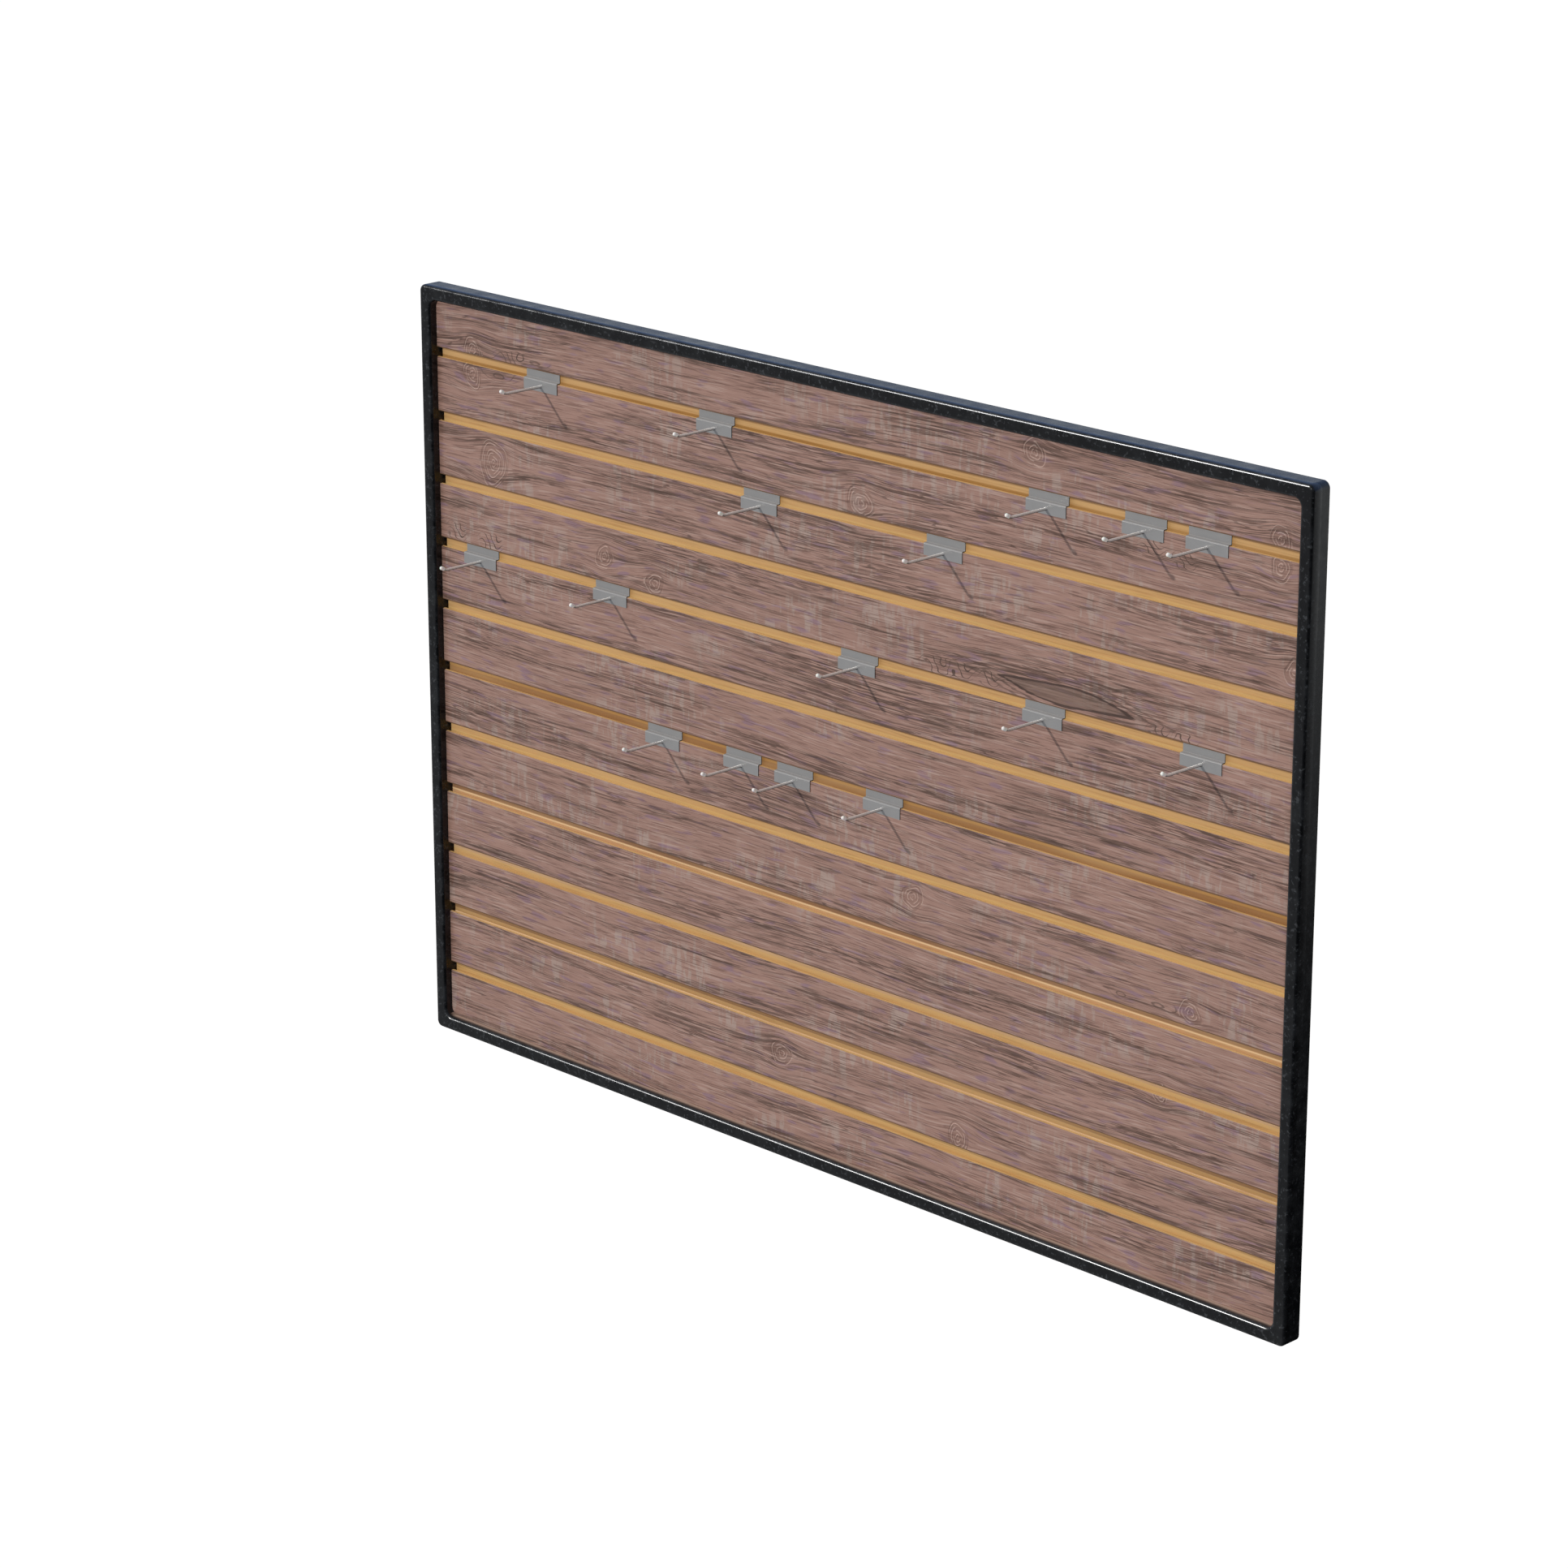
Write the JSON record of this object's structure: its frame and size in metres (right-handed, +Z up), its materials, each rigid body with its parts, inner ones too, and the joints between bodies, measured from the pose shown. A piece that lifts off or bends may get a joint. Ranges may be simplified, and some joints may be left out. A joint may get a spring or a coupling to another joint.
{
  "type": "slatwall panel",
  "caption": "Framed slatwall panel: horizontal wood-look slats with T-grooves in a black steel frame, and single-prong hooks that slide along the grooves.",
  "frame": {"origin": "centre of the wall plane: the middle of the four threaded wall inserts, in the plane of the frame's back", "axes": "+X to the right along the slats as seen from the front, +Y into the wall, +Z up; the front faces -Y"},
  "size_m": [1.325, 0.0775, 0.921],
  "materials": {
    "black_enamel": "gloss",
    "walnut_laminate": "matte",
    "golden_plywood": "satin",
    "satin_steel": "satin",
    "white_vinyl": "satin",
    "zinc_steel": "satin"
  },
  "bodies": {
    "panel": {"rail_top": "black_enamel", "rail_bottom": "black_enamel", "rail_left": "black_enamel", "rail_right": "black_enamel", "back_board": "golden_plywood", "slat_01": "walnut_laminate", "slat_02": "walnut_laminate", "slat_03": "walnut_laminate", "slat_04": "walnut_laminate", "slat_05": "walnut_laminate", "slat_06": "walnut_laminate", "slat_07": "walnut_laminate", "slat_08": "walnut_laminate", "slat_09": "walnut_laminate", "slat_10": "walnut_laminate", "slat_11": "walnut_laminate", "slat_12": "walnut_laminate", "lip_screws": "zinc_steel", "board_screws": "zinc_steel", "wall_inserts": "zinc_steel"},
    "hook_01_body": {"hook_01": "satin_steel", "tip_cap_01": "white_vinyl"},
    "hook_02_body": {"hook_02": "satin_steel", "tip_cap_02": "white_vinyl"},
    "hook_03_body": {"hook_03": "satin_steel", "tip_cap_03": "white_vinyl"},
    "hook_04_body": {"hook_04": "satin_steel", "tip_cap_04": "white_vinyl"},
    "hook_05_body": {"hook_05": "satin_steel", "tip_cap_05": "white_vinyl"},
    "hook_06_body": {"hook_06": "satin_steel", "tip_cap_06": "white_vinyl"},
    "hook_07_body": {"hook_07": "satin_steel", "tip_cap_07": "white_vinyl"},
    "hook_08_body": {"hook_08": "satin_steel", "tip_cap_08": "white_vinyl"},
    "hook_09_body": {"hook_09": "satin_steel", "tip_cap_09": "white_vinyl"},
    "hook_10_body": {"hook_10": "satin_steel", "tip_cap_10": "white_vinyl"},
    "hook_11_body": {"hook_11": "satin_steel", "tip_cap_11": "white_vinyl"},
    "hook_12_body": {"hook_12": "satin_steel", "tip_cap_12": "white_vinyl"},
    "hook_13_body": {"hook_13": "satin_steel", "tip_cap_13": "white_vinyl"},
    "hook_14_body": {"hook_14": "satin_steel", "tip_cap_14": "white_vinyl"},
    "hook_15_body": {"hook_15": "satin_steel", "tip_cap_15": "white_vinyl"},
    "hook_16_body": {"hook_16": "satin_steel", "tip_cap_16": "white_vinyl"}
  },
  "joints": [
    {"name": "hook_01_slide", "type": "slide", "parent": "panel", "child": "hook_01_body", "axis": [1, 0, 0], "range_m": [-0.15055, 0.22673]},
    {"name": "hook_02_slide", "type": "slide", "parent": "panel", "child": "hook_02_body", "axis": [1, 0, 0], "range_m": [-0.22673, 0.43329]},
    {"name": "hook_03_slide", "type": "slide", "parent": "panel", "child": "hook_03_body", "axis": [1, 0, 0], "range_m": [-0.43329, 0.07568]},
    {"name": "hook_04_slide", "type": "slide", "parent": "panel", "child": "hook_04_body", "axis": [1, 0, 0], "range_m": [-0.07568, 0.02856]},
    {"name": "hook_05_slide", "type": "slide", "parent": "panel", "child": "hook_05_body", "axis": [1, 0, 0], "range_m": [-0.02856, 0.09569]},
    {"name": "hook_06_slide", "type": "slide", "parent": "panel", "child": "hook_06_body", "axis": [1, 0, 0], "range_m": [-0.503, 0.21963]},
    {"name": "hook_07_slide", "type": "slide", "parent": "panel", "child": "hook_07_body", "axis": [1, 0, 0], "range_m": [-0.21963, 0.45587]},
    {"name": "hook_08_slide", "type": "slide", "parent": "panel", "child": "hook_08_body", "axis": [1, 0, 0], "range_m": [-0.04082, 0.16541]},
    {"name": "hook_09_slide", "type": "slide", "parent": "panel", "child": "hook_09_body", "axis": [1, 0, 0], "range_m": [-0.16541, 0.33453]},
    {"name": "hook_10_slide", "type": "slide", "parent": "panel", "child": "hook_10_body", "axis": [1, 0, 0], "range_m": [-0.33453, 0.21382]},
    {"name": "hook_11_slide", "type": "slide", "parent": "panel", "child": "hook_11_body", "axis": [1, 0, 0], "range_m": [-0.21382, 0.16024]},
    {"name": "hook_12_slide", "type": "slide", "parent": "panel", "child": "hook_12_body", "axis": [1, 0, 0], "range_m": [-0.16024, 0.09569]},
    {"name": "hook_13_slide", "type": "slide", "parent": "panel", "child": "hook_13_body", "axis": [1, 0, 0], "range_m": [-0.34679, 0.07116]},
    {"name": "hook_14_slide", "type": "slide", "parent": "panel", "child": "hook_14_body", "axis": [1, 0, 0], "range_m": [-0.07116, 0.02469]},
    {"name": "hook_15_slide", "type": "slide", "parent": "panel", "child": "hook_15_body", "axis": [1, 0, 0], "range_m": [-0.02469, 0.08085]},
    {"name": "hook_16_slide", "type": "slide", "parent": "panel", "child": "hook_16_body", "axis": [1, 0, 0], "range_m": [-0.08085, 0.54302]}
  ]
}
